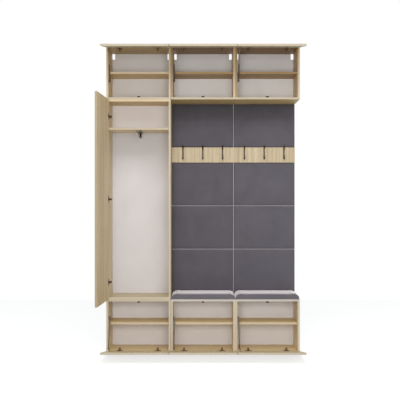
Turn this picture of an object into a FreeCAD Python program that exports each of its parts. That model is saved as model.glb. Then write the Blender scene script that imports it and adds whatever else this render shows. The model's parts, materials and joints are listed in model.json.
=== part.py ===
import FreeCAD, Part
import math
import os
import re

from FreeCAD import Placement, Rotation, Vector
from Sketcher import Constraint

# Hallway unit: three lower cabinets, a tall wardrobe on the left, a cushioned
# seat against upholstered wall panels, and three upper cabinets.
# +X is to the right, the front faces -Y, +Z is up. The origin lies on the floor
# under the middle of the carcass. The wardrobe door and the six flaps stand open.

DOC = FreeCAD.newDocument("hallway_unit")

# Driving dimensions in millimetres, angles in degrees

SIZES = {
    # carcasses
    "module_width": 500,
    "module_count": 3,
    "lower_height": 420,
    "tall_height": 1550,
    "upper_height": 420,
    "carcass_depth": 300,
    "board": 16,
    "back_thick": 3,
    "back_inset": 1,
    "notch_width": 37,
    "notch_height": 60,
    # shelves
    "lower_shelf_height": 218,
    "lower_shelf_setback": 50,
    "upper_shelf_height": 203,
    "upper_shelf_setback": 34,
    "hat_shelf_drop": 236,
    "shelf_clearance": 1,
    "pin_radius": 2.5,
    "pin_length": 16,
    "pin_inset": 40,
    "pin_clearance": 0.05,
    # connecting screws through tops and bottoms
    "screw_radius": 2.5,
    "screw_length": 45,
    "screw_head_radius": 4.75,
    "screw_head_height": 3,
    "screw_sink": 0.2,
    "screw_inset": 45,
    # flaps and door
    "leaf_thick": 16,
    "leaf_gap": 3,
    "leaf_margin": 2,
    "hinge_margin": 5,
    "pivot_depth": 9,
    "pivot_edge": 7,
    "flap_angle": 81,
    "door_angle": 93.5,
    "flap_hinge_inset": 102,
    "door_hinge_inset": 130,
    # cup hinges
    "cup_radius": 17.5,
    "cup_depth": 13,
    "cup_edge": 3,
    "cup_wall": 0.8,
    "cup_clearance": 0.05,
    "flange_length": 60,
    "flange_width": 21,
    "flange_thick": 1.2,
    "hinge_pin_radius": 1.4,
    "hinge_pin_clearance": 0.05,
    "nose_radius": 2.6,
    "neck_width": 7,
    "neck_back": 1.5,
    "arm_width": 14,
    "arm_thick": 3,
    "arm_clearance": 4.5,
    "arm_rise": 24,
    "arm_length": 45,
    "arm_setback": 8,
    "plate_width": 46,
    "plate_thick": 2.5,
    "screw_dome_radius": 3.5,
    "screw_dome_height": 1,
    # gas stays
    "stay_inset": 11,
    "stay_wall_depth": 24,
    "stay_wall_height": 275,
    "stay_reach": 100,
    "stay_standoff": 22,
    "stay_tube_radius": 5,
    "stay_tube_foot": 4.55,
    "stay_tube_length": 135,
    "stay_tube_floor": 28,
    "stay_rod_radius": 3,
    "stay_rod_overlap": 15,
    "stay_eye_radius": 6.5,
    "stay_eye_thick": 6,
    "stay_end_radius": 5,
    "stay_stud_radius": 3,
    "stay_stud_head": 5,
    "stay_clearance": 0.05,
    "stay_side_gap": 0.4,
    "bracket_plate": 2.5,
    "bracket_width": 20,
    "bracket_length": 30,
    "bracket_boss_radius": 3.5,
    "bracket_boss_length": 2.6,
    "bracket_margin": 5,
    # push latches
    "latch_width": 20,
    "latch_height": 10,
    "latch_length": 60,
    "latch_setback": 2,
    "plunger_radius": 3.5,
    "plunger_clearance": 0.05,
    "plunger_length": 30,
    "plunger_reach": 4.2,
    "plunger_travel": 4,
    "plunger_spare": 2,
    "edge_latch_radius": 5,
    # pull-out hanger
    "track_width": 30,
    "track_height": 12,
    "track_length": 255,
    "track_setback": 5,
    "slot_width": 20,
    "slot_height": 6,
    "slot_roof": 3,
    "slot_mouth": 10,
    "slider_clearance": 0.1,
    "slider_length": 245,
    "hanger_drop": 44,
    "hanger_post_radius": 4,
    "hanger_bar_radius": 5,
    "hanger_post_inset": 8,
    "hanger_span": 213,
    "sleeve_radius": 6.5,
    "sleeve_clearance": 0.05,
    "sleeve_gap": 0.4,
    # wall panels and rail
    "panel_base_thick": 8,
    "panel_trim": 3,
    "pad_thick": 15,
    "pad_rows": 3,
    "pad_seam": 3,
    "pad_corner": 6,
    "pad_round": 8,
    "pad_draw": 0.6,
    "pad_start": 22,
    "pad_top_margin": 4,
    "rail_height": 122,
    "rail_thick": 18,
    "seam_strip_width": 2.4,
    "seam_strip_sink": 1.5,
    # coat hooks
    "hook_spacing": 160,
    "hook_width": 11,
    "hook_thick": 4,
    "hook_low": 25,
    "hook_bend": 15,
    "hook_lip": 14,
    "hook_plate": 60,
    "hook_reach": 38,
    "hook_rise": 26,
    "hook_turn": 12,
    "hook_screw_radius": 3.2,
    "hook_screw_height": 1.2,
    "hook_screw_inset": 14,
    # seat cushions
    "cushion_thick": 40,
    "cushion_gap": 1,
    "cushion_back_gap": 0.6,
    "cushion_corner": 15,
    "cushion_round": 28,
    "cushion_front_round": 9,
    "cushion_draw": 2,
    # overrun of every cut
    "cut_overrun": 1,
}

SHEET = DOC.addObject("Spreadsheet::Sheet", "Sizes")
for row, (alias, size) in enumerate(SIZES.items(), start=1):
    SHEET.set("A%d" % row, alias)
    SHEET.set("B%d" % row, str(size))
    SHEET.setAlias("B%d" % row, alias)
DOC.recompute()


class Values:
    """The sheet's cells as plain numbers."""

    def __getattr__(self, alias):
        return float(getattr(SHEET, alias))


V = Values()

# How the soft forms round over, as shares of their thickness and edge radius

ROUND_START_SHARE = 0.35
ROUND_STEPS = 5
FOOT_SHARE = 0.12

# How far a leaf may stray from its volume less its bores, as a share of the bores

BORE_ERROR_SHARE = 0.01

# Names and helpers

SIDES = ("left", "middle", "right")
LEVELS = ("lower", "upper")
NODES = []


def expression(text):
    """The text with each size name pointed at its cell."""
    return re.sub(r"[a-z]+(_[a-z]+)+|board", lambda word: "Sizes." + word.group(), text)


def bind(thing, prop, text):
    thing.setExpression(prop, expression(text))


def node(thing, label):
    """Marks a document object as a sub-part of its own."""
    thing.Label = label
    NODES.append(thing)
    return thing


def place(thing, x, y, z):
    for axis, text in zip("xyz", (x, y, z)):
        bind(thing, "Placement.Base." + axis, text)


def box(name, size, corner):
    """A box of bound size with its lowest corner at a bound place."""
    solid = DOC.addObject("Part::Box", name)
    for prop, text in zip(("Length", "Width", "Height"), size):
        bind(solid, prop, text)
    place(solid, *corner)
    return solid


def cylinder(name, radius, length, start, turn):
    """A bound cylinder from a bound start, turned from +Z by the given rotation."""
    solid = DOC.addObject("Part::Cylinder", name)
    bind(solid, "Radius", radius)
    bind(solid, "Height", length)
    solid.Placement = Placement(Vector(), turn)
    place(solid, *start)
    return solid


def group(label, members):
    solid = DOC.addObject("Part::Compound", label)
    solid.Links = members
    return solid


def fuse(name, members):
    solid = DOC.addObject("Part::MultiFuse", name)
    solid.Shapes = members
    return solid


def cut(name, base, tool):
    solid = DOC.addObject("Part::Cut", name)
    solid.Base = base
    solid.Tool = tool
    return solid


def feature(name, shapes, placement=Placement()):
    """Several shapes made by code, kept together as one document object."""
    solid = DOC.addObject("Part::Feature", name)
    solid.Shape = Part.makeCompound(shapes)
    solid.Placement = placement
    return solid


def moved(shape, placement):
    copy = shape.copy()
    copy.Placement = placement.multiply(copy.Placement)
    return copy


# Places that several sub-parts share, first as bound texts

FRONT = "-(carcass_depth + back_thick) / 2"
TALL_BASE = "lower_height"
UPPER_BASE = "(lower_height + tall_height)"
ALONG_X = Rotation(Vector(0, 1, 0), 90)
ALONG_FRONT = Rotation(Vector(1, 0, 0), 90)
ALONG_BACK = Rotation(Vector(1, 0, 0), -90)
UPRIGHT = Rotation()


def module_left(index):
    return "(%d - module_count / 2) * module_width" % index


def front_y():
    return -(V.carcass_depth + V.back_thick) / 2


def module_x(index):
    return (index + 0.5 - V.module_count / 2) * V.module_width


def upper_base():
    return V.lower_height + V.tall_height


def pivot_inset():
    """From a cabinet's outline to the line its leaf turns about."""
    return V.hinge_margin + V.pivot_edge


def pivot_out():
    """From the carcass front to the line its leaf turns about."""
    return V.leaf_gap + V.pivot_depth


# Each leaf's own frame has its origin on the pivot line at mid width: x runs along
# the pivot, y from the pivot to the free edge, z out of the leaf's outer face.


def closed_frame(level, index):
    """Where a closed flap's own frame lies."""
    y = front_y() - pivot_out()
    if level == "lower":
        return Placement(Vector(module_x(index), y, pivot_inset()), ALONG_FRONT)
    top = upper_base() + V.upper_height
    half_turn = Rotation(Vector(0, 1, 0), 180)
    return Placement(Vector(module_x(index), y, top - pivot_inset()), half_turn.multiply(ALONG_FRONT))


def closed_door_frame():
    x = module_x(0) - V.module_width / 2 + pivot_inset()
    z = V.lower_height + V.tall_height / 2
    rows = FreeCAD.Matrix(0, 1, 0, 0, 0, 0, -1, 0, -1, 0, 0, 0, 0, 0, 0, 1)
    return Placement(Vector(x, front_y() - pivot_out(), z), Rotation(rows))


def opened(frame, angle):
    """A closed leaf's frame swung out about its own x axis."""
    return frame.multiply(Placement(Vector(), Rotation(Vector(1, 0, 0), angle)))


def stay_sign(level):
    """On which side of a flap's own frame the unit's left lies."""
    return -1 if level == "lower" else 1


def stay_plane(level):
    """The stay's place along the flap's own x axis."""
    return stay_sign(level) * (V.module_width / 2 - V.board - V.stay_inset)


def stay_wall_point():
    """The stay's wall pivot in a closed flap's own frame, as y and z."""
    return V.stay_wall_height - pivot_inset(), -V.stay_wall_depth - pivot_out()


def stay_flap_point(angle):
    """The stay's flap pivot in the closed flap's own frame, with the flap swung out."""
    out = math.radians(angle)
    y = V.stay_reach
    z = -V.pivot_depth - V.stay_standoff
    return y * math.cos(out) - z * math.sin(out), y * math.sin(out) + z * math.cos(out)


def stay_length(angle):
    wall = stay_wall_point()
    flap = stay_flap_point(angle)
    return math.hypot(flap[0] - wall[0], flap[1] - wall[1])


def stay_slope(angle):
    """The stay's lean from the wall pivot, in degrees out of the vertical."""
    wall = stay_wall_point()
    flap = stay_flap_point(angle)
    return math.degrees(math.atan2(flap[1] - wall[1], wall[0] - flap[0]))


# Pin, screw and latch places, shared by the pieces and their holes


def shelf_pin_places():
    """The foot of each shelf pin's axis at the side's inner face, and its direction."""
    shelves = []
    for index in range(int(V.module_count)):
        shelves.append((index, V.lower_shelf_height, V.lower_shelf_setback))
        shelves.append((index, upper_base() + V.upper_shelf_height, V.upper_shelf_setback))
    shelves.append((0, upper_base() - V.hat_shelf_drop, 0))
    places = []
    for index, z, setback in shelves:
        half = V.module_width / 2 - V.board
        for side in (-1, 1):
            for y in (setback + V.pin_inset, V.carcass_depth - V.pin_inset):
                places.append((Vector(module_x(index) + side * half, front_y() + y, z - V.pin_radius), side))
    return places


def joint_screw_places():
    """The head of each connecting screw and the way it points."""
    levels = [(index, 0, V.lower_height) for index in range(int(V.module_count))]
    levels += [(index, upper_base(), V.upper_height) for index in range(int(V.module_count))]
    levels.append((0, V.lower_height, V.tall_height))
    places = []
    for index, base, height in levels:
        half = V.module_width / 2 - V.board / 2
        for side in (-1, 1):
            for y in (V.screw_inset, V.carcass_depth - V.screw_inset):
                x = module_x(index) + side * half
                places.append((Vector(x, front_y() + y, base + V.screw_sink), 1))
                places.append((Vector(x, front_y() + y, base + height - V.screw_sink), -1))
    return places


def make_pin_shapes(grow):
    """Each pin is half in its side and half under its shelf."""
    shapes = []
    for foot, side in shelf_pin_places():
        start = foot + Vector(side * (V.pin_length / 2 + grow), 0, 0)
        length = V.pin_length + 2 * grow
        shapes.append(Part.makeCylinder(V.pin_radius + grow, length, start, Vector(-side, 0, 0)))
    return shapes


def edge_latch_point():
    """Where the wardrobe's latch opens in the front edge of its right side."""
    x = module_x(0) + (V.module_width - V.board) / 2
    return Vector(x, front_y(), V.lower_height + V.tall_height / 2)


def make_edge_bore():
    start = edge_latch_point() - Vector(0, V.cut_overrun, 0)
    depth = V.cut_overrun + V.latch_setback + V.latch_length + V.pin_clearance
    return Part.makeCylinder(V.edge_latch_radius + V.pin_clearance, depth, start, Vector(0, 1, 0))


def make_screw_shapes(grow, sink):
    shapes = []
    for head, way in joint_screw_places():
        axis = Vector(0, 0, way)
        start = head - axis * sink
        shank = Part.makeCylinder(V.screw_radius + grow, V.screw_length + sink + grow, start, axis)
        top = Part.makeCylinder(V.screw_head_radius + grow, V.screw_head_height + sink, start, axis)
        shapes.append(shank.fuse(top).removeSplitter())
    return shapes


# Carcass boards


def carcass_boards(level, base, height):
    """The sides, tops and bottoms of the three cabinets of one level."""
    sides = []
    flats = []
    for index in range(int(V.module_count)):
        left = module_left(index)
        name = "%s_%s" % (level, SIDES[index % len(SIDES)])
        side_size = ("board", "carcass_depth", height + " - 2 * board")
        flat_size = ("module_width", "carcass_depth", "board")
        inner_z = base + " + board"
        right = left + " + module_width - board"
        sides.append(box(name + "_left_side", side_size, (left, FRONT, inner_z)))
        sides.append(box(name + "_right_side", side_size, (right, FRONT, inner_z)))
        flats.append(box(name + "_bottom", flat_size, (left, FRONT, base)))
        flats.append(box(name + "_top", flat_size, (left, FRONT, base + " + " + height + " - board")))
    return sides, flats


def drilled(label, boards, holes):
    whole = group(label + "_blank", boards)
    return node(cut(label, whole, holes), label)


def backs(label, base, height, indices):
    panels = []
    for index in indices:
        size = ("module_width - 2 * back_inset", "back_thick", height + " - 2 * back_inset")
        corner = (module_left(index) + " + back_inset", FRONT + " + carcass_depth", base + " + back_inset")
        panels.append(box("%s_%d" % (label, index), size, corner))
    return panels


def shelf(name, index, base, setback):
    width = "module_width - 2 * board - 2 * shelf_clearance"
    size = (width, "carcass_depth - " + setback, "board")
    corner = (module_left(index) + " + board + shelf_clearance", FRONT + " + " + setback, base)
    return box(name, size, corner)


ALL = range(int(V.module_count))
HOLES = feature("board_holes", make_pin_shapes(V.pin_clearance)
                + make_screw_shapes(V.pin_clearance, V.screw_sink + V.cut_overrun)
                + [make_edge_bore()])

for level, base, height in (("lower", "0", "lower_height"), ("upper", UPPER_BASE, "upper_height")):
    side_boards, flat_boards = carcass_boards(level, base, height)
    drilled(level + "_side_panels", side_boards, HOLES)
    drilled(level + "_tops_and_bottoms", flat_boards, HOLES)

TALL_INNER = TALL_BASE + " + board"
TALL_SIDE = ("board", "carcass_depth", "tall_height - 2 * board")
TALL_FLAT = ("module_width", "carcass_depth", "board")
TALL_RIGHT = module_left(0) + " + module_width - board"
drilled("wardrobe_side_panels", [
    box("wardrobe_left_side", TALL_SIDE, (module_left(0), FRONT, TALL_INNER)),
    box("wardrobe_right_side", TALL_SIDE, (TALL_RIGHT, FRONT, TALL_INNER)),
], HOLES)
drilled("wardrobe_top_and_bottom", [
    box("wardrobe_bottom", TALL_FLAT, (module_left(0), FRONT, TALL_BASE)),
    box("wardrobe_top", TALL_FLAT, (module_left(0), FRONT, UPPER_BASE + " - board")),
], HOLES)

node(group("lower_back_panels", backs("lower_back", "0", "lower_height", ALL)), "lower_back_panels")
node(backs("wardrobe_back", TALL_BASE, "tall_height", [0])[0], "wardrobe_back_panel")


def upper_backs():
    """The upper back panels, open at both top corners for the hanging brackets."""
    notches = []
    for index in ALL:
        left = module_left(index)
        size = ("notch_width + cut_overrun", "back_thick + 2 * cut_overrun", "notch_height + cut_overrun")
        z = UPPER_BASE + " + upper_height - notch_height"
        y = FRONT + " + carcass_depth - cut_overrun"
        right = left + " + module_width - notch_width"
        notches.append(box("notch_left_%d" % index, size, (left + " - cut_overrun", y, z)))
        notches.append(box("notch_right_%d" % index, size, (right, y, z)))
    whole = group("upper_backs_whole", backs("upper_back", UPPER_BASE, "upper_height", ALL))
    return cut("upper_back_panels", whole, group("hanging_notches", notches))


node(upper_backs(), "upper_back_panels")

node(group("lower_shelves", [
    shelf("lower_shelf_%d" % index, index, "lower_shelf_height", "lower_shelf_setback") for index in ALL
]), "lower_shelves")
node(group("upper_shelves", [
    shelf("upper_shelf_%d" % index, index, UPPER_BASE + " + upper_shelf_height", "upper_shelf_setback")
    for index in ALL
]), "upper_shelves")
node(shelf("hat_shelf", 0, UPPER_BASE + " - hat_shelf_drop", "0"), "hat_shelf")

node(feature("shelf_pins", make_pin_shapes(0)), "shelf_pins")
node(feature("joint_screws", make_screw_shapes(0, 0)), "joint_screws")

# Flaps and door: one board each, bored for its hinge cups


def origin_plane(body, role):
    return [item for item in body.Origin.OriginFeatures if item.Role == role][0]


def leaf_sketch(body, name):
    """A sketch on the leaf's inner face."""
    sketch = body.newObject("Sketcher::SketchObject", name)
    sketch.AttachmentSupport = [(origin_plane(body, "XY_Plane"), "")]
    sketch.MapMode = "FlatFace"
    bind(sketch, "AttachmentOffset.Base.z", "-pivot_depth")
    return sketch


def name_constraint(sketch, constraint, name, text):
    """Adds a constraint whose value follows the sheet."""
    number = sketch.addConstraint(constraint)
    sketch.renameConstraint(number, name)
    bind(sketch, "Constraints." + name, text)


def draw_leaf(sketch, width, width_text, length, length_text):
    """The leaf's outline, from the hinge edge behind the pivot to the free edge."""
    half = width / 2
    low = -V.pivot_edge
    corners = [(-half, low), (half, low), (half, low + length), (-half, low + length)]
    for index in range(4):
        start = Vector(*corners[index], 0)
        end = Vector(*corners[(index + 1) % 4], 0)
        sketch.addGeometry(Part.LineSegment(start, end), False)
    for index in range(4):
        sketch.addConstraint(Constraint("Coincident", index, 2, (index + 1) % 4, 1))
    for index in (0, 2):
        sketch.addConstraint(Constraint("Horizontal", index))
    for index in (1, 3):
        sketch.addConstraint(Constraint("Vertical", index))
    name_constraint(sketch, Constraint("DistanceX", 0, 1, 0, 2, width), "width", width_text)
    name_constraint(sketch, Constraint("DistanceY", 1, 1, 1, 2, length), "length", length_text)
    name_constraint(sketch, Constraint("DistanceX", 0, 1, -1, 1, half), "half", width_text + " / 2")
    name_constraint(sketch, Constraint("DistanceY", 0, 1, -1, 1, V.pivot_edge), "edge", "pivot_edge")


def draw_bores(sketch, bores):
    """One circle for each hinge cup, at a bound distance from the middle."""
    depth = V.cup_edge + V.cup_radius - V.pivot_edge
    for index, (x, text) in enumerate(bores):
        centre = Vector(x, depth, 0)
        sketch.addGeometry(Part.Circle(centre, Vector(0, 0, 1), V.cup_radius), False)
        tag = "bore%s" % "abc"[index]
        name_constraint(sketch, Constraint("Radius", index, V.cup_radius), tag + "_radius", "cup_radius")
        rise = Constraint("DistanceY", -1, 1, index, 3, depth)
        name_constraint(sketch, rise, tag + "_rise", "cup_edge + cup_radius - pivot_edge")
        if x < 0:
            name_constraint(sketch, Constraint("DistanceX", index, 3, -1, 1, -x), tag + "_place", text)
        elif x > 0:
            name_constraint(sketch, Constraint("DistanceX", -1, 1, index, 3, x), tag + "_place", text)
        else:
            sketch.addConstraint(Constraint("PointOnObject", index, 3, -2))


def make_leaf(label, width, length, bores, placement):
    """A flap or door as a body: a pad with a row of blind bores on its inner face."""
    body = DOC.addObject("PartDesign::Body", label)
    outline = leaf_sketch(body, label + "_outline")
    draw_leaf(outline, width[0], width[1], length[0], length[1])
    pad = body.newObject("PartDesign::Pad", label + "_pad")
    pad.Profile = outline
    bind(pad, "Length", "leaf_thick")
    circles = leaf_sketch(body, label + "_bores")
    draw_bores(circles, bores)
    pocket = body.newObject("PartDesign::Pocket", label + "_pocket")
    pocket.Profile = circles
    pocket.Reversed = True
    bind(pocket, "Length", "cup_depth")
    DOC.recompute()
    blank = pad.Shape.Volume
    bored = len(bores) * math.pi * V.cup_radius ** 2 * V.cup_depth
    if abs(blank - pocket.Shape.Volume - bored) > bored * BORE_ERROR_SHARE:
        raise RuntimeError(label + ": the hinge bores are not cut")
    body.Placement = placement
    return node(body, label)


FLAP_HEIGHTS = {"lower": "lower_height", "upper": "upper_height"}
FLAP_WIDTH_TEXT = "(module_width - 2 * leaf_margin)"


def flap_hinge_x():
    return V.module_width / 2 - V.flap_hinge_inset


def make_flap(level, index):
    label = "%s_flap_%s" % (level, SIDES[index % len(SIDES)])
    height = getattr(V, FLAP_HEIGHTS[level])
    width = (V.module_width - 2 * V.leaf_margin, FLAP_WIDTH_TEXT)
    length_text = FLAP_HEIGHTS[level] + " - hinge_margin - leaf_margin"
    length = (height - V.hinge_margin - V.leaf_margin, length_text)
    text = "module_width / 2 - flap_hinge_inset"
    bores = [(-flap_hinge_x(), text), (flap_hinge_x(), text)]
    return make_leaf(label, width, length, bores, opened(closed_frame(level, index), V.flap_angle))


def door_height():
    return V.tall_height - 2 * V.leaf_margin


def door_hinge_places():
    reach = door_height() / 2 - V.door_hinge_inset
    return (-reach, 0, reach)


def make_door():
    width = (door_height(), "(tall_height - 2 * leaf_margin)")
    length_text = "module_width - hinge_margin - leaf_margin"
    length = (V.module_width - V.hinge_margin - V.leaf_margin, length_text)
    text = "(tall_height - 2 * leaf_margin) / 2 - door_hinge_inset"
    bores = [(x, text) for x in door_hinge_places()]
    return make_leaf("wardrobe_door", width, length, bores, opened(closed_door_frame(), V.door_angle))


# Concealed hinges, each drawn with its origin at the middle of its pivot line


def make_hinge_cup():
    """The pressed cup with its flange, its two screws and the pin across it."""
    face = "-pivot_depth"
    centre = "(cup_edge + cup_radius - pivot_edge)"
    outer = "(cup_radius - cup_clearance)"
    inner = "(cup_radius - cup_clearance - cup_wall)"
    shell = cylinder("cup_shell", outer, "cup_depth - cup_clearance", ("0", centre, face), UPRIGHT)
    size = ("flange_length", "flange_width", "flange_thick")
    corner = ("-flange_length / 2", centre + " - " + outer, face + " - flange_thick")
    flange = box("cup_flange", size, corner)
    screws = []
    for name, way in (("left", "-"), ("right", "")):
        x = way + "(flange_length / 2 - screw_dome_radius - cup_wall)"
        y = centre + " - " + outer + " + flange_width / 2"
        z = face + " - flange_thick - screw_dome_height"
        height = "screw_dome_height + flange_thick / 2"
        screws.append(cylinder("cup_screw_" + name, "screw_dome_radius", height, (x, y, z), UPRIGHT))
    solid = fuse("cup_blank", [shell, flange] + screws)
    deep = "cup_depth + flange_thick + cut_overrun - cup_clearance - cup_wall"
    mouth = cylinder("cup_mouth", inner, deep, ("0", centre, face + " - flange_thick - cut_overrun"), UPRIGHT)
    hollow = cut("cup_hollow", solid, mouth)
    wall = "sqrt(%s * %s - %s * %s)" % (outer, outer, centre, centre)
    pin_length = "2 * (%s - cup_wall / 2)" % wall
    start = ("-(%s - cup_wall / 2)" % wall, "0", "0")
    pin = cylinder("cup_pin", "hinge_pin_radius", pin_length, start, ALONG_X)
    return fuse("hinge_cup", [hollow, pin])


def make_hinge_arm():
    """The fixed arm: a plate on the panel, a raised arm and a gooseneck to the pin."""
    panel = V.board - pivot_inset()
    under = panel + V.plate_thick + V.arm_clearance + V.cup_wall / 2
    over = under + V.arm_thick
    crest = panel + V.arm_rise
    tip = V.nose_radius
    back = -pivot_out() - V.arm_length
    foot = -pivot_out() - V.arm_setback
    rise = (crest - over) / 2
    outline = [
        (panel, back), (panel, foot), (under, foot + V.arm_thick), (under, tip), (over, tip),
        (over + V.arm_thick, -V.pivot_depth), (crest, foot - rise), (crest, back + rise),
        (over + V.arm_thick, back),
    ]
    points = [Vector(-V.arm_width / 2, y, z) for y, z in outline]
    arm = Part.Face(Part.makePolygon(points + points[:1])).extrude(Vector(V.arm_width, 0, 0))
    half = V.neck_width / 2
    neck_size = (V.neck_width, over, V.nose_radius + V.neck_back)
    neck = Part.makeBox(*neck_size, Vector(-half, 0, -V.neck_back))
    nose = Part.makeCylinder(V.nose_radius, V.neck_width, Vector(-half, 0, 0), Vector(1, 0, 0))
    plate_size = (V.plate_width, V.plate_thick, foot - back)
    plate = Part.makeBox(*plate_size, Vector(-V.plate_width / 2, panel, back))
    parts = [neck, nose, plate]
    for way in (-1, 1):
        x = way * (V.plate_width / 2 - 2 * V.screw_dome_radius)
        seat = Vector(x, panel + V.plate_thick / 2, (foot + back) / 2)
        height = V.plate_thick / 2 + V.screw_dome_height
        parts.append(Part.makeCylinder(V.screw_dome_radius, height, seat, Vector(0, 1, 0)))
    bore_radius = V.hinge_pin_radius + V.hinge_pin_clearance
    bore_start = Vector(-half - V.cut_overrun, 0, 0)
    bore = Part.makeCylinder(bore_radius, V.neck_width + 2 * V.cut_overrun, bore_start, Vector(1, 0, 0))
    solid = DOC.addObject("Part::Feature", "hinge_arm")
    solid.Shape = arm.multiFuse(parts).removeSplitter().cut(bore)
    return solid


# Gas stays: a cylinder on the cabinet side, a rod, and a bracket on the flap


def make_stay_tube():
    """The stay's cylinder, from the wall pivot along +Z."""
    foot = ("0", "0", "stay_tube_foot")
    tube = cylinder("tube_body", "stay_tube_radius", "stay_tube_length", foot, UPRIGHT)
    eye_start = ("-stay_eye_thick / 2", "0", "0")
    eye = cylinder("tube_eye", "stay_eye_radius", "stay_eye_thick", eye_start, ALONG_X)
    flat = "(stay_tube_radius - stay_eye_thick / 2)"
    cheeks = []
    for name, x in (("left", "-stay_tube_radius - cut_overrun"), ("right", "stay_eye_thick / 2")):
        size = (flat + " + cut_overrun", "2 * stay_tube_radius + 2 * cut_overrun", "stay_eye_radius")
        cheeks.append(box("tube_cheek_" + name, size, (x, "-stay_tube_radius - cut_overrun", "0")))
    bore_radius = "stay_rod_radius + stay_clearance"
    bore = cylinder("tube_bore", bore_radius, "stay_tube_length", ("0", "0", "stay_tube_floor"), UPRIGHT)
    hole_start = ("-stay_eye_thick / 2 - cut_overrun", "0", "0")
    hole_radius = "stay_stud_radius + stay_clearance"
    hole = cylinder("tube_hole", hole_radius, "stay_eye_thick + 2 * cut_overrun", hole_start, ALONG_X)
    trimmed = cut("tube_trimmed", tube, group("tube_cheeks", cheeks))
    solid = fuse("tube_solid", [trimmed, eye])
    return cut("stay_tube", solid, group("tube_cuts", [bore, hole]))


def make_stay_rod():
    """The stay's rod in a frame at the wall pivot, drawn out as far as the open flap asks."""
    out = stay_length(V.flap_angle)
    tube_end = V.stay_tube_foot + V.stay_tube_length
    low = tube_end - V.stay_rod_overlap
    rod = Part.makeCylinder(V.stay_rod_radius, out - low, Vector(0, 0, low))
    disc_start = Vector(-V.stay_eye_thick / 2, 0, out)
    disc = Part.makeCylinder(V.stay_end_radius, V.stay_eye_thick, disc_start, Vector(1, 0, 0))
    solid = DOC.addObject("Part::Feature", "stay_rod")
    solid.Shape = rod.fuse(disc).removeSplitter()
    return solid


def make_flap_bracket():
    """The stay's bracket, drawn on the flap's inner face with the stay in the plane x = 0."""
    face = "-pivot_depth"
    near = "(stay_eye_thick / 2 + stay_side_gap)"
    wall = "(%s + bracket_boss_length)" % near
    base_size = ("bracket_width", "bracket_width", "bracket_plate")
    half = "stay_reach - bracket_width / 2"
    base = box("flap_bracket_base", base_size, (wall, half, face + " - bracket_plate"))
    height = "(stay_standoff + bracket_margin)"
    up_size = ("bracket_plate", "bracket_width", height)
    up = box("flap_bracket_wall", up_size, (wall, half, face + " - " + height))
    start = (near, "stay_reach", face + " - stay_standoff")
    boss_length = "bracket_boss_length + bracket_plate"
    boss = cylinder("flap_bracket_boss", "bracket_boss_radius", boss_length, start, ALONG_X)
    return fuse("flap_bracket", [base, up, boss])


def make_wall_bracket():
    """The plate and stud on the cabinet side, with the stay in the plane x = 0."""
    size = ("bracket_plate", "bracket_length", "bracket_width")
    plate = box("wall_plate", size, ("-stay_inset", "-bracket_length / 2", "-bracket_width / 2"))
    stud_length = "stay_inset + stay_eye_thick / 2 + stay_side_gap + bracket_plate"
    stud = cylinder("wall_stud", "stay_stud_radius", stud_length, ("-stay_inset", "0", "0"), ALONG_X)
    head_start = ("stay_eye_thick / 2 + stay_side_gap", "0", "0")
    head = cylinder("wall_stud_head", "stay_stud_head", "bracket_plate", head_start, ALONG_X)
    collar_length = "stay_inset - stay_eye_thick / 2 - stay_side_gap"
    collar = cylinder("wall_collar", "stay_stud_head", collar_length, ("-stay_inset", "0", "0"), ALONG_X)
    return fuse("wall_bracket", [plate, stud, head, collar])


# Push latches: a housing on a board or in its edge, and a sprung plunger in it


def make_plunger_bore(name, front):
    """The plunger's bore, open at the housing's front end."""
    reach = "plunger_length - plunger_reach + plunger_travel + plunger_spare"
    start = ("0", front + " - cut_overrun", "latch_height / 2")
    length = reach + " + cut_overrun - (" + front + ")"
    return cylinder(name, "plunger_radius + plunger_clearance", length, start, ALONG_BACK)


def make_latch_housing():
    """The housing on its board, from its front end along +Y, with the board at z = 0."""
    size = ("latch_width", "latch_length", "latch_height")
    blank = box("latch_blank", size, ("-latch_width / 2", "0", "0"))
    return cut("latch_housing", blank, make_plunger_bore("latch_bore", "0"))


def make_edge_housing():
    """The round housing in the same frame, its front end level with the board's edge."""
    start = ("0", "-latch_setback", "latch_height / 2")
    tube = cylinder("edge_tube", "edge_latch_radius", "latch_setback + latch_length", start, ALONG_BACK)
    return cut("edge_housing", tube, make_plunger_bore("edge_bore", "-latch_setback"))


def make_plunger():
    """The plunger in the same frame, its tip ahead of the housing's front end."""
    start = ("0", "-plunger_reach + plunger_radius / 2", "latch_height / 2")
    length = "plunger_length - plunger_radius / 2"
    body = cylinder("plunger_body", "plunger_radius", length, start, ALONG_BACK)
    tip = DOC.addObject("Part::Cone", "plunger_tip")
    bind(tip, "Radius1", "plunger_radius / 2")
    bind(tip, "Radius2", "plunger_radius")
    bind(tip, "Height", "plunger_radius / 2")
    tip.Placement = Placement(Vector(), ALONG_BACK)
    place(tip, "0", "-plunger_reach", "latch_height / 2")
    return fuse("plunger", [body, tip])


def latch_frames():
    """The frames of the six latches under the lower tops and on the upper bottoms."""
    y = front_y() + V.latch_setback
    frames = {}
    hanging = Rotation(Vector(0, 1, 0), 180)
    for index in ALL:
        side = SIDES[index % len(SIDES)]
        low = Vector(module_x(index), y, V.lower_height - V.board)
        high = Vector(module_x(index), y, upper_base() + V.board)
        frames["lower_latch_plunger_" + side] = Placement(low, hanging)
        frames["upper_latch_plunger_" + side] = Placement(high, UPRIGHT)
    return frames


def edge_latch_frame():
    return Placement(edge_latch_point() + Vector(0, V.latch_setback, -V.latch_height / 2), UPRIGHT)


CUP = make_hinge_cup()
ARM = make_hinge_arm()
TUBE = make_stay_tube()
ROD = make_stay_rod()
FLAP_BRACKET = make_flap_bracket()
WALL_BRACKET = make_wall_bracket()
HOUSING = make_latch_housing()
EDGE_HOUSING = make_edge_housing()
PLUNGER = make_plunger()
DOC.recompute()


def shifted(shape, x, y=0, z=0):
    return moved(shape, Placement(Vector(x, y, z), Rotation()))


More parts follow.
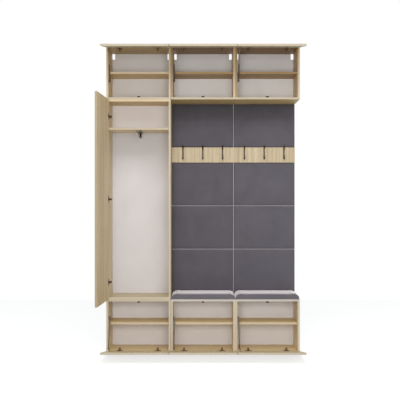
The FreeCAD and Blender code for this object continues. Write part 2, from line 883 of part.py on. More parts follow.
def facing(shape, level, y):
    """The shape turned about z at the height y where the unit's left lies on +x."""
    if level == "lower":
        return shape
    return moved(shape, Placement(Vector(0, 2 * y, 0), Rotation(Vector(0, 0, 1), 180)))


def stay_frame(level, index):
    """The stay's frame at its wall pivot, with +Z towards the open flap's bracket."""
    y, z = stay_wall_point()
    start = closed_frame(level, index).multVec(Vector(stay_plane(level), y, z))
    slope = stay_slope(V.flap_angle)
    angle = 180 - slope if level == "lower" else slope
    return Placement(start, Rotation(Vector(1, 0, 0), angle))


def make_flap_set(level, index):
    """One flap with its fittings and its gas stay."""
    side = SIDES[index % len(SIDES)]
    frame = opened(closed_frame(level, index), V.flap_angle)
    make_flap(level, index)
    bracket = facing(FLAP_BRACKET.Shape, level, V.stay_reach)
    fittings = [shifted(CUP.Shape, x) for x in (-flap_hinge_x(), flap_hinge_x())]
    fittings.append(shifted(bracket, stay_plane(level)))
    label = "%s_flap_fittings_%s" % (level, side)
    node(feature(label, fittings, frame), label)
    for name, master in (("cylinder", TUBE), ("rod", ROD)):
        label = "%s_stay_%s_%s" % (level, name, side)
        node(feature(label, [master.Shape], stay_frame(level, index)), label)


for level in LEVELS:
    for index in ALL:
        make_flap_set(level, index)

make_door()
DOOR_FRAME = opened(closed_door_frame(), V.door_angle)
node(feature("door_hinge_cups", [shifted(CUP.Shape, x) for x in door_hinge_places()], DOOR_FRAME),
     "door_hinge_cups")


def fixed_arms():
    arms = []
    for level in LEVELS:
        for index in ALL:
            frame = closed_frame(level, index)
            arms += [moved(shifted(ARM.Shape, x), frame) for x in (-flap_hinge_x(), flap_hinge_x())]
    arms += [moved(shifted(ARM.Shape, x), closed_door_frame()) for x in door_hinge_places()]
    return arms


def fixed_stay_brackets():
    brackets = []
    y, z = stay_wall_point()
    for level in LEVELS:
        for index in ALL:
            shape = shifted(facing(WALL_BRACKET.Shape, level, 0), stay_plane(level), y, z)
            brackets.append(moved(shape, closed_frame(level, index)))
    return brackets


node(feature("hinge_arms", fixed_arms()), "hinge_arms")
node(feature("stay_wall_brackets", fixed_stay_brackets()), "stay_wall_brackets")
node(feature("latch_housings", [moved(HOUSING.Shape, frame) for frame in latch_frames().values()]),
     "latch_housings")
for label, frame in latch_frames().items():
    node(feature(label, [PLUNGER.Shape], frame), label)
node(feature("wardrobe_latch_housing", [EDGE_HOUSING.Shape], edge_latch_frame()), "wardrobe_latch_housing")
node(feature("wardrobe_latch_plunger", [PLUNGER.Shape], edge_latch_frame()), "wardrobe_latch_plunger")

# Pull-out hanger under the hat shelf, running front to back


HANGER_X = "(0.5 - module_count / 2) * module_width"
SHELF_UNDER = "(lower_height + tall_height - hat_shelf_drop)"


def make_hanger_track():
    """A channel with a slot that is narrower at its mouth."""
    y = FRONT + " + track_setback"
    size = ("track_width", "track_length", "track_height")
    corner = (HANGER_X + " - track_width / 2", y, SHELF_UNDER + " - track_height")
    slot_size = ("slot_width", "track_length + 2 * cut_overrun", "slot_height")
    slot_top = SHELF_UNDER + " - slot_roof"
    slot_corner = (HANGER_X + " - slot_width / 2", y + " - cut_overrun", slot_top + " - slot_height")
    mouth_size = ("slot_mouth", "track_length + 2 * cut_overrun", "track_height")
    mouth_z = slot_top + " - slot_height / 2 - track_height"
    mouth_corner = (HANGER_X + " - slot_mouth / 2", y + " - cut_overrun", mouth_z)
    slots = group("track_slots", [box("track_slot", slot_size, slot_corner),
                                  box("track_mouth", mouth_size, mouth_corner)])
    return cut("hanger_track", box("track_blank", size, corner), slots)


def make_hanger_bar():
    """The slider with its two posts and the bar between them."""
    gap = " - 2 * slider_clearance"
    y = FRONT + " + track_setback"
    size = ("slot_width" + gap, "slider_length", "slot_height" + gap)
    slider_z = SHELF_UNDER + " - slot_roof - slot_height + slider_clearance"
    slider = box("slider", size, (HANGER_X + " - slot_width / 2 + slider_clearance", y, slider_z))
    parts = [slider]
    post_y = y + " + hanger_post_inset"
    low = SHELF_UNDER + " - hanger_drop"
    post_length = "hanger_drop - slot_roof - slot_height / 2"
    for name, step in (("front", "0"), ("rear", "hanger_span")):
        start = (HANGER_X, post_y + " + " + step, low)
        parts.append(cylinder("post_" + name, "hanger_post_radius", post_length, start, UPRIGHT))
    bar_start = (HANGER_X, post_y + " - hanger_bar_radius", low)
    length = "hanger_span + hanger_bar_radius"
    parts.append(cylinder("bar", "hanger_bar_radius", length, bar_start, ALONG_BACK))
    return fuse("hanger_bar", parts)


def make_hanger_sleeve():
    """The dark sleeve round the rear post, notched over the bar."""
    y = FRONT + " + track_setback + hanger_post_inset + hanger_span"
    low = SHELF_UNDER + " - hanger_drop - hanger_bar_radius"
    length = "hanger_drop + hanger_bar_radius - track_height - sleeve_gap"
    tube = cylinder("sleeve_body", "sleeve_radius", length, (HANGER_X, y, low), UPRIGHT)
    hole_radius = "hanger_post_radius + sleeve_clearance"
    hole = cylinder("sleeve_hole", hole_radius, "hanger_drop + cut_overrun",
                    (HANGER_X, y, SHELF_UNDER + " - hanger_drop"), UPRIGHT)
    bar = cylinder("sleeve_bar", "hanger_bar_radius + sleeve_clearance", "hanger_span + cut_overrun",
                   (HANGER_X, y + " + sleeve_clearance", SHELF_UNDER + " - hanger_drop"), ALONG_FRONT)
    return cut("hanger_rear_post", tube, group("sleeve_cuts", [hole, bar]))


node(make_hanger_track(), "hanger_track")
node(make_hanger_bar(), "hanger_bar")
node(make_hanger_sleeve(), "hanger_rear_post")

# Wall panels behind the seat


NICHE = [index for index in ALL if index > 0]


COLUMNS = range(len(NICHE))
PANEL_FACE = FRONT + " + carcass_depth + back_thick - panel_base_thick"
PANEL_WIDTH = "(module_width - panel_trim)"
PAD_PITCH = "((tall_height - pad_start - rail_height - pad_top_margin) / (pad_rows + 1))"
RAIL_LOW = "(lower_height + pad_start + pad_rows * " + PAD_PITCH + ")"


def panel_face():
    return front_y() + V.carcass_depth + V.back_thick - V.panel_base_thick


def panel_width():
    return V.module_width - V.panel_trim


def panel_x(column):
    """The middle of a column of panels, counted from the wardrobe."""
    return module_x(0) + V.module_width / 2 + (column + 0.5) * panel_width()


def panel_left(column):
    return "%s + %d * %s" % (module_left(NICHE[0]), column, PANEL_WIDTH)


def pad_pitch():
    """The height of a row of pads: the rows and the rail fill the wall between them."""
    return (V.tall_height - V.pad_start - V.rail_height - V.pad_top_margin) / (V.pad_rows + 1)


def rail_low():
    return V.lower_height + V.pad_start + V.pad_rows * pad_pitch()


def panel_bases():
    """One board behind each column of pads."""
    boards = []
    for column in COLUMNS:
        size = (PANEL_WIDTH, "panel_base_thick", "tall_height")
        boards.append(box("panel_base_%d" % column, size, (panel_left(column), PANEL_FACE, TALL_BASE)))
    return boards


def seam_strips():
    """Narrow strips on the boards that fill the seams to just behind the pads' faces."""
    depth = "(pad_thick - seam_strip_sink)"
    y = PANEL_FACE + " - " + depth
    strips = []
    for column in COLUMNS[1:]:
        x = panel_left(column) + " - seam_strip_width / 2"
        under = ("seam_strip_width", depth, "pad_rows * " + PAD_PITCH)
        over = ("seam_strip_width", depth, PAD_PITCH)
        strips.append(box("strip_under_rail_%d" % column, under, (x, y, "lower_height + pad_start")))
        strips.append(box("strip_over_rail_%d" % column, over, (x, y, RAIL_LOW + " + rail_height")))
    for column in COLUMNS:
        x = panel_left(column) + " + pad_seam / 2"
        size = (PANEL_WIDTH + " - pad_seam", depth, "seam_strip_width")
        for row in range(1, int(V.pad_rows)):
            z = "lower_height + pad_start + %d * %s - seam_strip_width / 2" % (row, PAD_PITCH)
            strips.append(box("strip_level_%d_%d" % (column, row), size, (x, y, z)))
    return strips


def soft_outline(width, length, corner, draw, insets, z):
    """A rounded rectangle, set in across and along, whose sides draw in between its corners."""
    x = width / 2 - insets[0]
    y = length / 2 - insets[1]
    slant = corner * (1 - math.sqrt(0.5))
    edges = []
    for a, b, turn in ((x, y, 0), (y, x, 90), (x, y, 180), (y, x, 270)):
        spin = Rotation(Vector(0, 0, 1), turn)
        points = [Vector(a, -b + corner, z), Vector(a - draw, 0, z), Vector(a, b - corner, z),
                  Vector(a - slant, b - slant, z), Vector(a - corner, b, z)]
        points = [spin.multVec(point) for point in points]
        edges.append(Part.Arc(points[0], points[1], points[2]).toShape())
        edges.append(Part.Arc(points[2], points[3], points[4]).toShape())
    return Part.Wire(edges)


def soft_block(width, length, thick, corner, rounds, draw):
    """A padded block on z = 0: a tucked foot, full sides and a crown rounded across and along."""
    foot = [FOOT_SHARE * reach for reach in rounds]
    wires = [soft_outline(width, length, corner, draw, foot, 0)]
    start = ROUND_START_SHARE * thick
    for step in range(ROUND_STEPS + 1):
        lift = step / ROUND_STEPS
        insets = [reach * (1 - math.sqrt(1 - lift ** 2)) for reach in rounds]
        wires.append(soft_outline(width, length, corner, draw, insets, start + (thick - start) * lift))
    return Part.makeLoft(wires, True, True)


def wall_pads():
    """Rows of pads from the seat to the rail and one row over it."""
    pads = []
    lows = [V.lower_height + V.pad_start + row * pad_pitch() for row in range(int(V.pad_rows))]
    lows.append(rail_low() + V.rail_height)
    block = soft_block(panel_width() - V.pad_seam, pad_pitch() - V.pad_seam, V.pad_thick,
                       V.pad_corner, (V.pad_round, V.pad_round), V.pad_draw)
    for column in COLUMNS:
        for low in lows:
            centre = Vector(panel_x(column), panel_face(), low + pad_pitch() / 2)
            pads.append(moved(block, Placement(centre, ALONG_FRONT)))
    return pads


def rail_boards():
    boards = []
    for column in COLUMNS:
        size = (PANEL_WIDTH, "rail_thick", "rail_height")
        corner = (panel_left(column), PANEL_FACE + " - rail_thick", RAIL_LOW)
        boards.append(box("rail_board_%d" % column, size, corner))
    return boards


node(group("wall_panel_bases", panel_bases() + seam_strips()), "wall_panel_bases")
node(feature("wall_pads", wall_pads()), "wall_pads")
node(group("coat_rail_boards", rail_boards()), "coat_rail_boards")

# Coat hooks: a bent flat bar with a long upper prong and a short lower one


def arc_through(start, corner, end, radius):
    """The two tangent points and the middle of a rounded corner."""
    back = (start - corner).normalize()
    ahead = (end - corner).normalize()
    half = back.getAngle(ahead) / 2
    reach = radius / math.tan(half)
    middle = (back + ahead).normalize()
    centre = corner + middle * (radius / math.sin(half))
    return corner + back * reach, centre - middle * radius, corner + ahead * reach


def make_hook():
    """The hook on the face y = 0, out towards -Y, with the rail's lower edge at z = 0."""
    plate_y = -V.hook_thick / 2
    low = V.hook_low + V.hook_thick / 2
    bend = V.hook_bend
    plate_low = low + bend
    plate_top = plate_low + V.hook_plate
    lip_y = plate_y - 2 * bend
    knee = Vector(0, plate_y, plate_top + V.hook_turn / 2)
    tip = Vector(0, -V.hook_reach, knee.z + V.hook_rise)
    start = Vector(0, lip_y, plate_low + V.hook_lip)
    turn = arc_through(Vector(0, plate_y, plate_low), knee, tip, V.hook_turn)
    edges = [
        Part.LineSegment(start, Vector(0, lip_y, plate_low)).toShape(),
        Part.Arc(Vector(0, lip_y, plate_low), Vector(0, plate_y - bend, low),
                 Vector(0, plate_y, plate_low)).toShape(),
        Part.LineSegment(Vector(0, plate_y, plate_low), turn[0]).toShape(),
        Part.Arc(*turn).toShape(),
        Part.LineSegment(turn[2], tip).toShape(),
    ]
    half = V.hook_width / 2
    thick = V.hook_thick / 2
    corners = [(-half, -thick), (half, -thick), (half, thick), (-half, thick), (-half, -thick)]
    profile = Part.makePolygon([start + Vector(x, y, 0) for x, y in corners])
    bar = Part.Wire(edges).makePipeShell([profile], True, False)
    parts = []
    for z in (plate_low + V.hook_screw_inset, plate_top - V.hook_screw_inset):
        seat = Vector(0, plate_y, z)
        height = V.hook_thick / 2 + V.hook_screw_height
        parts.append(Part.makeCylinder(V.hook_screw_radius, height, seat, Vector(0, -1, 0)))
    return bar.multiFuse(parts).removeSplitter()


def coat_hooks():
    hooks = []
    hook = make_hook()
    for column in COLUMNS:
        for step in (-1, 0, 1):
            x = panel_x(column) + step * V.hook_spacing
            hooks.append(shifted(hook, x, panel_face() - V.rail_thick, rail_low()))
    return hooks


node(feature("coat_hooks", coat_hooks()), "coat_hooks")

# Seat cushions on the middle and right lower cabinets


def make_cushions():
    width = V.module_width - V.cushion_gap
    reach = panel_face() - V.pad_thick - V.cushion_back_gap - front_y()
    rounds = (V.cushion_round, V.cushion_front_round)
    block = soft_block(width, reach, V.cushion_thick, V.cushion_corner, rounds, V.cushion_draw)
    for index in NICHE:
        label = "seat_cushion_" + SIDES[index % len(SIDES)]
        centre = Vector(module_x(index), front_y() + reach / 2, V.lower_height)
        node(feature(label, [block], Placement(centre, Rotation())), label)


make_cushions()

# Checks before anything is written

DOC.recompute()
for thing in DOC.Objects:
    if "Invalid" in thing.State or "Error" in thing.State:
        raise RuntimeError(thing.Name + " failed to compute")
labels = [thing.Label for thing in NODES]
if len(set(labels)) != len(labels):
    raise RuntimeError("two sub-parts share a label")
for thing in NODES:
    if thing.Shape.isNull() or not thing.Shape.isValid():
        raise RuntimeError(thing.Label + " has no valid shape")

os.makedirs("parts", exist_ok=True)
for thing in NODES:
    thing.Shape.exportStep("parts/" + thing.Label + ".step")
    print(thing.Label, len(thing.Shape.Solids), "solids", round(thing.Shape.Volume / 1000), "cm3")
print(len(NODES), "sub-parts")
print("stay", round(stay_length(V.flap_angle), 3), round(stay_length(0), 3),
      round(stay_slope(V.flap_angle), 4), round(stay_slope(0), 4))
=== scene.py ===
import json
import math

import bmesh
import bpy
from mathutils import Matrix, Vector


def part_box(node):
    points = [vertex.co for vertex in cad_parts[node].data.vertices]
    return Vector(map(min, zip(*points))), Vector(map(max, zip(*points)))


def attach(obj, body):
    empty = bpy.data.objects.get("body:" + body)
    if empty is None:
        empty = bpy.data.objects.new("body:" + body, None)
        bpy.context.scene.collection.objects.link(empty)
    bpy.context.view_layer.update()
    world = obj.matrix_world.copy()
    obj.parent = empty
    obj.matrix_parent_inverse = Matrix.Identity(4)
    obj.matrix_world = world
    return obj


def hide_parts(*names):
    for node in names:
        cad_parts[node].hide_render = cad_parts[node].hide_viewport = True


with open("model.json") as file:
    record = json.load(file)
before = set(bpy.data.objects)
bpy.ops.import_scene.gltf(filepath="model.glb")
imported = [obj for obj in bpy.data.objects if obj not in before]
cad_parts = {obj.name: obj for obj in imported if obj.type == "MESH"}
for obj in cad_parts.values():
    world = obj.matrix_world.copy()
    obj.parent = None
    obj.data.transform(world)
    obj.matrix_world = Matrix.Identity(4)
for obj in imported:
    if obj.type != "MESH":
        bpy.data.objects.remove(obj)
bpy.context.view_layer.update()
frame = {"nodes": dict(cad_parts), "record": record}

# Camera and stage, in metres. The photograph is a one-point perspective whose
# vanishing point is its middle, so the camera looks straight along +Y.

FRONT_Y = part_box("hat_shelf")[0][1]
CAMERA_DISTANCE = 6.235
CAMERA_HEIGHT = 1.19
CAMERA_X = -0.0235
LENS = 72.4
SENSOR = 36.0

# The floor's own colour, and the white glow that rays straight from the camera, a polished
# finish or glass see on it.

FLOOR_TONE = (0.785, 0.80, 0.805, 1)
FLOOR_REACH = 3.2
WHITE = (1, 1, 1, 1)
WHITE_SHARE = 0.4
WHITE_STRENGTH = 1.8
SKY_TONE = (0.96, 0.98, 1.0, 1)
SKY_STRENGTH = 0.42


def make_camera():
    data = bpy.data.cameras.new("camera")
    data.lens = LENS
    data.sensor_width = SENSOR
    camera = bpy.data.objects.new("camera", data)
    bpy.context.scene.collection.objects.link(camera)
    camera.location = (CAMERA_X, FRONT_Y - CAMERA_DISTANCE, CAMERA_HEIGHT)
    camera.rotation_euler = (math.pi / 2, 0, 0)
    bpy.context.scene.camera = camera


make_camera()

# Shader helpers


def srgb(red, green, blue):
    """A colour as the photograph shows it, out of 255, made linear."""
    def linear(value):
        share = value / 255
        return share / 12.92 if share <= 0.04045 else ((share + 0.055) / 1.055) ** 2.4
    return (linear(red), linear(green), linear(blue), 1)


class Tree:
    """A node tree with short ways to add and join its nodes.

    Wherever a value is given, an output of another node may be given instead."""

    def __init__(self, tree):
        self.tree = tree

    def join(self, output, target):
        self.tree.links.new(output, target)

    def add(self, kind, values=None, **settings):
        """A node with its settings, and with values on its inputs, by name or number."""
        made = self.tree.nodes.new(kind)
        for name, setting in settings.items():
            setattr(made, name, setting)
        for name, value in (values or {}).items():
            if isinstance(value, bpy.types.NodeSocket):
                self.join(value, made.inputs[name])
            else:
                made.inputs[name].default_value = value
        return made

    def math(self, operation, first, second=0.0):
        return self.add("ShaderNodeMath", {0: first, 1: second}, operation=operation).outputs[0]

    def total(self, *layers):
        """The sum of layers, each given as its value and its share."""
        amounts = [self.math("MULTIPLY", value, share) for value, share in layers]
        result = amounts[0]
        for amount in amounts[1:]:
            result = self.math("ADD", result, amount)
        return result

    def mix(self, factor, first, second, blend="MIX"):
        """A mix of two colours."""
        values = {0: factor, 6: first, 7: second}
        return self.add("ShaderNodeMix", values, data_type="RGBA", blend_type=blend).outputs[2]

    def vector(self, operation, first, second=(0, 0, 0)):
        """A vector sum, snap or multiple."""
        values = {0: first, "Scale" if operation == "SCALE" else 1: second}
        return self.add("ShaderNodeVectorMath", values, operation=operation).outputs[0]

    def remap(self, value, low, high, to_low=0.0, to_high=1.0):
        values = {0: value, 1: low, 2: high, 3: to_low, 4: to_high}
        return self.add("ShaderNodeMapRange", values).outputs[0]

    def noise(self, place, **values):
        """A cloudy pattern over a place, with values on the pattern's own named inputs."""
        return self.add("ShaderNodeTexNoise", {"Vector": place, **values}).outputs


def make_group(name, inputs, outputs):
    """A node group with named inputs as (name, kind, default) and outputs as (name, kind)."""
    group = bpy.data.node_groups.new(name, "ShaderNodeTree")
    for label, kind, default in inputs:
        socket = group.interface.new_socket(label, in_out="INPUT", socket_type="NodeSocket" + kind)
        if default is not None:
            socket.default_value = default
    for label, kind in outputs:
        group.interface.new_socket(label, in_out="OUTPUT", socket_type="NodeSocket" + kind)
    tree = Tree(group)
    return tree, tree.add("NodeGroupInput").outputs, tree.add("NodeGroupOutput").inputs, group


# Oak grain: how far its figure wanders, each layer's share of the dark tone, the pores'
# depth beside the fibres' height, and the roughness without and with fibres.

GRAIN_WANDER = 0.35
BAND_SHARE = 0.55
RING_SHARE = 0.45
FIBRE_SHARE = 0.35
PORE_SHARE = 0.35
PORE_DEPTH = 1.5
OAK_ROUGHNESS = (0.42, 0.56)


def make_grain_group():
    """Light oak: broad bands, fine fibres and short dark pores, all drawn out along the grain."""
    tree, given, out, group = make_group(
        "oak_grain",
        [("Vector", "Vector", None), ("Light", "Color", (1, 1, 1, 1)),
         ("Dark", "Color", (0, 0, 0, 1)), ("Figure", "Float", 0.5)],
        [("Color", "Color"), ("Height", "Float"), ("Roughness", "Float")])
    place = given["Vector"]
    bend = tree.noise(place, Scale=2.2, Detail=2.0)
    bent = tree.vector("ADD", place, tree.vector("SCALE", bend["Color"], GRAIN_WANDER))
    bands = tree.noise(bent, Scale=9.0, Detail=3.0, Roughness=0.55)
    rings = tree.add("ShaderNodeTexWave",
                     {"Vector": bent, "Scale": 9.0, "Distortion": 5.0, "Detail": 3.0,
                      "Detail Scale": 1.2},
                     wave_type="BANDS", bands_direction="X")
    fibres = tree.noise(place, Scale=90.0, Detail=4.0, Roughness=0.7)
    pores = tree.noise(place, Scale=260.0, Detail=1.0)
    band = tree.remap(bands["Fac"], 0.32, 0.68)
    fibre = tree.remap(fibres["Fac"], 0.3, 0.7)
    pore = tree.remap(pores["Fac"], 0.60, 0.72)
    depth = tree.total((band, BAND_SHARE), (rings.outputs["Fac"], RING_SHARE),
                       (fibre, FIBRE_SHARE), (pore, PORE_SHARE))
    depth = tree.math("MULTIPLY", depth, given["Figure"])
    tree.join(tree.mix(depth, given["Light"], given["Dark"]), out["Color"])
    tree.join(tree.math("SUBTRACT", fibre, tree.math("MULTIPLY", pore, PORE_DEPTH)), out["Height"])
    tree.join(tree.remap(fibre, 0.0, 1.0, *OAK_ROUGHNESS), out["Roughness"])
    return group


MOTTLE_DARK = (0.55, 0.53, 0.5, 1)


def make_mottle_group():
    """A smooth surface's faint unevenness: a clouded colour and a fine grit."""
    tree, given, out, group = make_group(
        "mottle",
        [("Vector", "Vector", None), ("Color", "Color", (1, 1, 1, 1)),
         ("Scale", "Float", 30.0), ("Amount", "Float", 0.1)],
        [("Color", "Color"), ("Height", "Float"), ("Share", "Float")])
    cloud = tree.noise(given["Vector"], Scale=given["Scale"], Detail=4.0, Roughness=0.6)
    grit = tree.noise(given["Vector"], Scale=900.0, Detail=2.0)
    share = tree.remap(cloud["Fac"], 0.3, 0.7)
    dark = tree.mix(1.0, given["Color"], MOTTLE_DARK, blend="MULTIPLY")
    amount = tree.math("MULTIPLY", share, given["Amount"])
    tree.join(tree.mix(amount, given["Color"], dark), out["Color"])
    tree.join(grit["Fac"], out["Height"])
    tree.join(share, out["Share"])
    return group


# Cloth: the shares of its brushed clouds, crossing threads and tufts in the light tone,
# and the tufts' height beside the threads'.

BRUSHED_SHARE = 0.45
THREAD_SHARE = 0.25
TUFT_SHARE = 0.3
TUFT_HEIGHT = 0.6


def make_cloth_group():
    """Short-pile upholstery: crossing threads under a cloudy nap."""
    tree, given, out, group = make_group(
        "nap",
        [("Vector", "Vector", None), ("Pile", "Color", (1, 1, 1, 1)),
         ("Shade", "Color", (0, 0, 0, 1)), ("Threads", "Float", 400.0)],
        [("Color", "Color"), ("Height", "Float")])
    place = given["Vector"]
    wave = {"Vector": place, "Scale": given["Threads"], "Distortion": 0.6, "Detail": 1.0}
    warp, weft = (tree.add("ShaderNodeTexWave", wave, wave_type="BANDS",
                           bands_direction=direction, wave_profile="SIN").outputs["Fac"]
                  for direction in ("X", "Z"))
    cross = tree.math("MULTIPLY", warp, weft)
    pile = tree.noise(place, Scale=700.0, Detail=3.0, Roughness=0.7)
    nap = tree.noise(place, Scale=5.0, Detail=5.0, Roughness=0.6, Distortion=0.6)
    tuft = tree.remap(pile["Fac"], 0.3, 0.7)
    brushed = tree.remap(nap["Fac"], 0.3, 0.7)
    share = tree.total((brushed, BRUSHED_SHARE), (cross, THREAD_SHARE), (tuft, TUFT_SHARE))
    tree.join(tree.mix(share, given["Shade"], given["Pile"]), out["Color"])
    tree.join(tree.math("ADD", cross, tree.math("MULTIPLY", tuft, TUFT_HEIGHT)), out["Height"])
    return group


GRAIN = make_grain_group()
MOTTLE = make_mottle_group()
NAP = make_cloth_group()


def new_material(name, **shader):
    """A material with its tree, its Principled shader and the values set on that shader."""
    material = bpy.data.materials.new(name)
    material.use_nodes = True
    tree = Tree(material.node_tree)
    principled = material.node_tree.nodes["Principled BSDF"]
    for label, value in shader.items():
        principled.inputs[label.replace("_", " ")].default_value = value
    return material, tree, principled


def object_vector(tree):
    return tree.add("ShaderNodeTexCoord").outputs["Object"]


def add_bump(tree, principled, height, strength, distance):
    values = {"Height": height, "Strength": strength, "Distance": distance}
    bump = tree.add("ShaderNodeBump", values)
    tree.join(bump.outputs[0], principled.inputs["Normal"])


# The strength and height in metres of each finish's fine relief

GRAIN_BUMP = (0.25, 0.0002)
PAINT_BUMP = (0.15, 0.0002)
CLOTH_BUMP = (0.22, 0.0003)

# Oak finishes: each kind of board's light and dark tone, and its edge band. All are one oak
# laminate in lit and shaded copies: each kind's tones carry painted light and shade for where
# it stands, and the level boards' and shelves' warmer, stronger tones are a painted warm bounce
# light inside the cabinets.

OAK_LIGHT = srgb(226, 208, 170)
OAK_DARK = srgb(186, 163, 122)
OAK_EDGE = srgb(186, 174, 152)
RAIL_LIGHT = srgb(200, 183, 151)
RAIL_DARK = srgb(162, 141, 107)
CABINET_LIGHT = srgb(228, 206, 157)
CABINET_DARK = srgb(188, 161, 110)
SHELF_LIGHT = srgb(234, 208, 151)
SHELF_DARK = srgb(194, 163, 104)
HAT_SHELF_LIGHT = srgb(237, 220, 182)
HAT_SHELF_DARK = srgb(198, 174, 134)
WARDROBE_LIGHT = srgb(209, 196, 166)
WARDROBE_DARK = srgb(170, 153, 120)

# How much the grain is drawn out along a board. A face counts as broad where this much of
# its normal runs through the board's thickness. On the rest an edge band covers this
# much of the grain.

ALONG_GRAIN = 0.055
BROAD_FACE = 0.7
EDGE_COVER = 0.85

# The cabinets' sizes, and the shadow lines where their boards meet: half the width of a
# line, the part of that which is fully dark, the tone that is left in it, and how much
# of the line is left on the right and on level joints.

MODULE = 0.5
BOARD = 0.016
SEAT_LEVEL = 0.42
HEAD_BASE = 1.97
JOINT_WIDTH = 0.0021
JOINT_CORE = 0.4
JOINT_SHADE = 0.15
RIGHT_JOINT = 0.3
LEVEL_JOINT = 0.3

# The cells of a grid with one board in each, where that grid starts, the darkest and
# lightest of the boards' tones, and how far apart their figures are taken.

UPRIGHT_CELL = (0.25, 10.0, 1.97)
LEVEL_CELL = (0.5, 10.0, 0.197)
CELL_START = (0.7505, 5.0, 0.0005)
TONE_SPREAD = (0.94, 1.04)
FIGURE_SHIFT = 3.0

# Rooms with a tint of their own: each room's lowest x, highest x, lowest z and highest z,
# and the tint in it. Some tints are painted light and shade, as marked at each. A climb has
# the height where its tint begins and the height where it is full.

DARKER_OAK = (0.52, 0.41, 0.22, 1)
DARKER_SIDE = (0.60, 0.51, 0.33, 1)
UPPER_SHELF_TINTS = ((-0.2505, 0.7505, 1.9875, 2.3725, DARKER_OAK),)
LEVEL_TINTS = (
    # Undersides of the upper tops: left, then middle and right, darkened as painted shade,
    # deepest in the middle and right
    (-0.7505, -0.2505, 2.3735, 2.376, (0.80, 0.73, 0.56, 1)),
    (-0.2505, 0.7505, 2.3735, 2.376, (0.41, 0.26, 0.04, 1)),
    # Undersides of the middle and right upper bottoms, darkened as painted shade over the seat
    (-0.2505, 0.7505, 1.9695, 1.9705, (0.82, 0.77, 0.64, 1)),
    # Lower tops: middle and right, then left
    (-0.2505, 0.7505, 0.4035, 0.4205, (0.93, 1.02, 1.32, 1)),
    (-0.7505, -0.2505, 0.4035, 0.4205, (0.94, 0.93, 0.96, 1)),
)
UPRIGHT_TINTS = (
    # Left sides of the middle and right upper cabinets
    (-0.2505, -0.2335, 1.985, 2.375, DARKER_SIDE),
    (0.2495, 0.2665, 1.985, 2.375, DARKER_SIDE),
    # All upper sides
    (-0.7505, 0.7505, 1.985, 2.375, (1.18, 1.11, 1.02, 1)),
)
UPRIGHT_LIGHT_AND_SHADE_CLIMBS = (
    # Painted shade darkening up the upper sides towards their tops, and painted light
    # brightening down the lower ones towards the floor
    (2.10, 2.37, (0.84, 0.76, 0.54, 1)),
    (0.36, 0.04, (1.16, 1.14, 1.14, 1)),
)
BRACKET_SHADE = (0.25, 0.22, 0.18, 1)
BRACKET_PLACES = (-0.723, -0.223, 0.277)
BRACKET_REACH = 0.012
BRACKET_TINTS = tuple((x - BRACKET_REACH, x + BRACKET_REACH, base, base + SEAT_LEVEL, BRACKET_SHADE)
                      for x in BRACKET_PLACES for base in (0.0, HEAD_BASE))
TALL_SIDE_TINTS = ((-0.2655, -0.2495, 0.0, 1.97, (0.88, 0.85, 0.80, 1)),)
UPPER_BACK_TINTS = (
    # The left back, then the lower half of the middle and right ones, lightened there as painted
    # light
    (-0.75, -0.25, 1.97, 2.4, (0.93, 0.93, 0.93, 1)),
    (-0.25, 0.75, 1.97, 2.2, (1.06, 1.07, 1.07, 1)),
)
WARDROBE_TINTS = (
    # The top board, then its underside, darkened as painted shade
    (-0.7505, -0.2495, 1.953, 1.9705, (1.34, 1.24, 1.05, 1)),
    (-0.7505, -0.2495, 1.953, 1.9545, (0.90, 0.86, 0.82, 1)),
)
DOOR_HINGE_TINTS = ((-0.8, -0.7, 0.43, 1.96, (0.28, 0.26, 0.22, 1)),)
# Painted light on the wardrobe's back above the hat shelf
HAT_BACK_PAINTED_LIGHT = ((-0.75, -0.25, 1.742, 1.97, (1.30, 1.30, 1.31, 1)),)
# Painted shade on the left column of pads, beside the wardrobe's side
LEFT_PAD_PAINTED_SHADE = ((-0.26, 0.2455, 0.42, 1.97, (0.92, 0.92, 0.92, 1)),)


def split(tree, vector):
    return tree.add("ShaderNodeSeparateXYZ", {0: vector}).outputs


def joint_lines(tree, place, normal):
    """The fine shadow where one cabinet's boards meet the next one's, beside and above."""
    def line(distance, depth, axis):
        near = tree.remap(distance, JOINT_WIDTH * JOINT_CORE, JOINT_WIDTH, depth, 0.0)
        return tree.math("MULTIPLY", near, tree.math("LESS_THAN", normal[axis], BROAD_FACE))

    from_middle = tree.math("ABSOLUTE", place["X"])
    across = tree.math("ABSOLUTE", tree.math("SUBTRACT", from_middle, MODULE / 2))
    fading = tree.remap(place["X"], -BOARD, BOARD, 1.0, RIGHT_JOINT)
    beside = tree.math("MULTIPLY", line(across, 1.0, "X"), fading)
    seat = tree.math("ABSOLUTE", tree.math("SUBTRACT", place["Z"], SEAT_LEVEL))
    head = tree.math("ABSOLUTE", tree.math("SUBTRACT", place["Z"], HEAD_BASE))
    above = line(tree.math("MINIMUM", seat, head), LEVEL_JOINT, "Z")
    return tree.math("MAXIMUM", beside, above)


def tinted(tree, colour, place, rooms):
    """The colour with each room's tint on it."""
    for low_x, high_x, low_z, high_z, tint in rooms:
        mask = None
        for axis, operation, limit in (("X", "GREATER_THAN", low_x), ("X", "LESS_THAN", high_x),
                                       ("Z", "GREATER_THAN", low_z), ("Z", "LESS_THAN", high_z)):
            inside = tree.math(operation, place[axis], limit)
            mask = inside if mask is None else tree.math("MULTIPLY", mask, inside)
        colour = tree.mix(mask, colour, tint, blend="MULTIPLY")
    return colour


